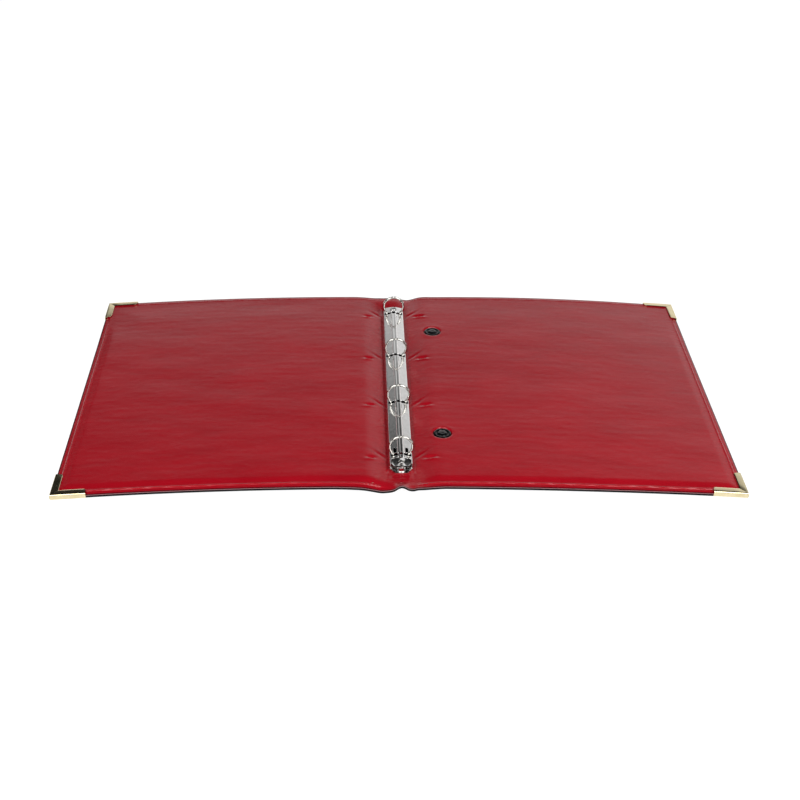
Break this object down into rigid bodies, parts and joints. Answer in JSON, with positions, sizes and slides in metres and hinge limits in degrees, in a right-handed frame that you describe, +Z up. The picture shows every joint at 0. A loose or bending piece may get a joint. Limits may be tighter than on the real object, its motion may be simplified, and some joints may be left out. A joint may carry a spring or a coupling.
{
  "type": "ring binder",
  "caption": "Open padded ring binder with a bowed front and back cover, a sprung round-ring mechanism with a trigger lever, and metal corner protectors.",
  "frame": {"origin": "on the supporting surface, under the middle of the opened binder", "axes": "+X across the opened covers from the front cover to the back cover, +Y along the spine towards the top of the page, +Z up"},
  "size_m": [0.5638, 0.3212, 0.0346],
  "materials": {
    "outer_vinyl": "grained black vinyl, semi-matt",
    "lining_vinyl": "grained red vinyl, satin",
    "greyboard": "raw greyboard",
    "foam": "soft open-cell foam sheet",
    "nickel_plate": "bright nickel plating",
    "spring_steel": "nickel-plated spring steel",
    "brass_corner": "polished brass plating",
    "black_plastic": "moulded black plastic"
  },
  "bodies": {
    "spine": {"spine_outer_sheet": "outer_vinyl", "spine_board": "greyboard", "spine_lining": "lining_vinyl", "cover_plate": "nickel_plate", "lever_pin": "nickel_plate", "far_rivet": "nickel_plate", "near_rivet": "nickel_plate", "far_washer": "nickel_plate", "near_washer": "nickel_plate"},
    "front_cover": {"front_outer_sheet": "outer_vinyl", "front_board": "greyboard", "front_padding": "foam", "front_lining": "lining_vinyl", "front_upper_corner": "brass_corner", "front_lower_corner": "brass_corner"},
    "back_cover": {"back_outer_sheet": "outer_vinyl", "back_board": "greyboard", "back_padding": "foam", "back_lining": "lining_vinyl", "back_upper_corner": "brass_corner", "back_lower_corner": "brass_corner", "upper_stud": "black_plastic", "lower_stud": "black_plastic", "upper_stud_cap": "black_plastic", "lower_stud_cap": "black_plastic"},
    "left_rail_and_rings": {"left_rail": "spring_steel", "left_ring_1": "nickel_plate", "left_ring_2": "nickel_plate", "left_ring_3": "nickel_plate", "left_ring_4": "nickel_plate"},
    "right_rail_and_rings": {"right_rail": "spring_steel", "right_ring_1": "nickel_plate", "right_ring_2": "nickel_plate", "right_ring_3": "nickel_plate", "right_ring_4": "nickel_plate"},
    "lever": {"trigger_lever": "nickel_plate"}
  },
  "joints": [
    {"name": "front_cover_fold", "type": "hinge", "parent": "spine", "child": "front_cover", "pos_m": [-0.0168, 0, 0.0116], "axis": [0, 1, 0], "range_deg": [0, 90]},
    {"name": "back_cover_fold", "type": "hinge", "parent": "spine", "child": "back_cover", "pos_m": [0.0168, 0, 0.0116], "axis": [0, -1, 0], "range_deg": [0, 90]},
    {"name": "left_rail_swing", "type": "hinge", "parent": "spine", "child": "left_rail_and_rings", "pos_m": [-0.0083, 0, 0.0124], "axis": [0, -1, 0], "range_deg": [0, 16]},
    {"name": "right_rail_swing", "type": "hinge", "parent": "spine", "child": "right_rail_and_rings", "pos_m": [0.0083, 0, 0.0124], "axis": [0, 1, 0], "range_deg": [0, 16]},
    {"name": "lever_swing", "type": "hinge", "parent": "spine", "child": "lever", "pos_m": [0, -0.1265, 0.012], "axis": [1, 0, 0], "range_deg": [0, 25]}
  ],
  "couplings": [
    {"joint": "right_rail_swing", "follows": "left_rail_swing", "ratio": 1},
    {"joint": "lever_swing", "follows": "left_rail_swing", "ratio": 1.5625}
  ]
}
